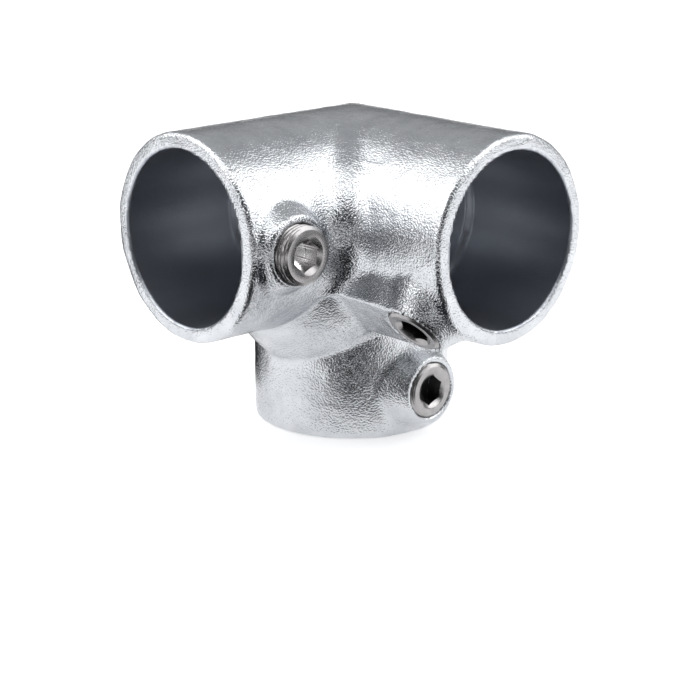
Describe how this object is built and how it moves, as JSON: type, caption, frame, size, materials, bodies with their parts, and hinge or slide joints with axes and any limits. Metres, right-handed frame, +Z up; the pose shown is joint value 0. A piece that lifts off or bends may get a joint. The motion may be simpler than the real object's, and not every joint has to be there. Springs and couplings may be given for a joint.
{
  "type": "three-way pipe clamp",
  "caption": "Galvanised cast corner clamp with equal pipe sockets at right angles to each other, each with a set screw that grips the pipe.",
  "frame": {"origin": "centre of the lower socket's mouth, on the plane of its rim", "axes": "+Z up along the lower socket's axis, which opens towards -Z; the right socket opens towards +X and the left one towards -Y"},
  "size_m": [0.0936, 0.0936, 0.0936],
  "materials": {
    "galvanised_casting": "hot-dip galvanised, fine grain",
    "screw_steel": "machined"
  },
  "bodies": {
    "casting": {"clamp_body": "galvanised_casting"},
    "left_screw": {"left_set_screw": "screw_steel"},
    "right_screw": {"right_set_screw": "screw_steel"},
    "lower_screw": {"lower_set_screw": "screw_steel"}
  },
  "joints": [
    {"name": "left_screw_travel", "type": "slide", "parent": "casting", "child": "left_screw", "axis": [-1, 0, 0], "range_m": [-0.005, 0.003]},
    {"name": "right_screw_travel", "type": "slide", "parent": "casting", "child": "right_screw", "axis": [0, 0.7431, 0.6691], "range_m": [-0.005, 0.003]},
    {"name": "lower_screw_travel", "type": "slide", "parent": "casting", "child": "lower_screw", "axis": [-1, 0, 0], "range_m": [-0.005, 0.003]}
  ]
}
